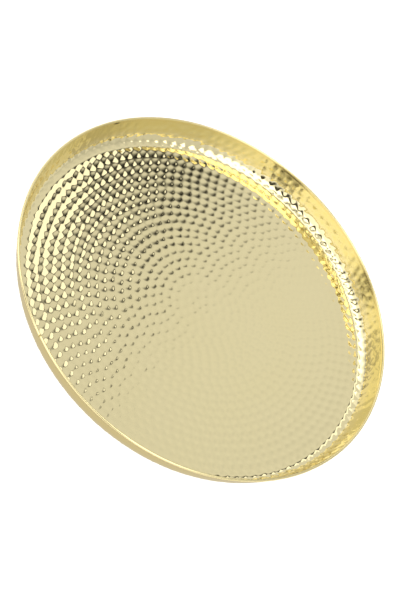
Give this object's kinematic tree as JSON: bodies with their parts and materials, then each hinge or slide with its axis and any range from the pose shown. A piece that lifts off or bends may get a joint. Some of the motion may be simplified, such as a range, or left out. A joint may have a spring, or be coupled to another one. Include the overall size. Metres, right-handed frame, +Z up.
{
  "type": "round hammered serving tray",
  "caption": "Round shallow serving tray of hammered brass sheet, with a flat floor, a wall that leans outward and a strip crimped over its rim.",
  "frame": {"origin": "centre of the underside, on the surface that the tray stands on", "axes": "+Z up along the tray's axis, out of the dish; +X and +Y are in the plane of the floor, and the rim band's seam lies at 246.5 degrees from +X towards +Y"},
  "size_m": [0.4, 0.4, 0.029],
  "materials": {
    "pan_brass": "polished and lacquered, hammered inside, with fine handling marks",
    "rim_brass": "polished strip, rubbed brighter along its crown"
  },
  "bodies": {
    "root": {"pan": "pan_brass", "rim_band": "rim_brass"}
  },
  "joints": []
}
